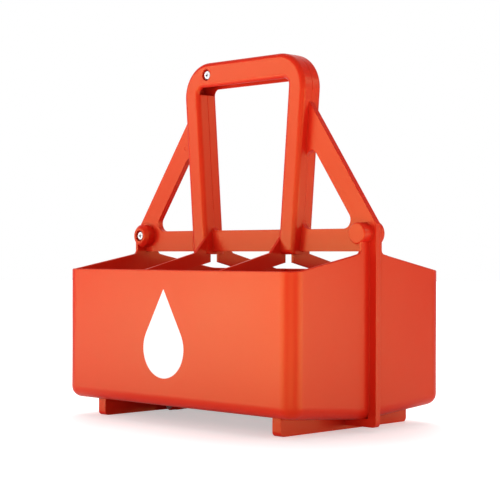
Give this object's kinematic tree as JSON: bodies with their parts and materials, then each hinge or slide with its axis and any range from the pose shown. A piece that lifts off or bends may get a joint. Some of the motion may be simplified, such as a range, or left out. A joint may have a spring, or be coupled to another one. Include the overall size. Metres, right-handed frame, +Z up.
{
  "type": "squeeze bottle carrier",
  "caption": "Open moulded carrier with a central U grip, dividers that part the bays for squeeze bottles, and runners under the floor.",
  "frame": {"origin": "middle of the plan, on the surface that the runners stand on", "axes": "+X along the carrier, +Y from front to back across the parting plane, +Z up"},
  "size_m": [0.315, 0.206, 0.342],
  "materials": {
    "red_plastic": "moulded, satin gloss",
    "screw_steel": "bright zinc-plated",
    "white_print": "printed ink"
  },
  "bodies": {
    "root": {"front_half": "red_plastic", "rear_half": "red_plastic", "grip_screws": "screw_steel", "end_screws": "screw_steel", "base_screws": "screw_steel"}
  },
  "joints": []
}
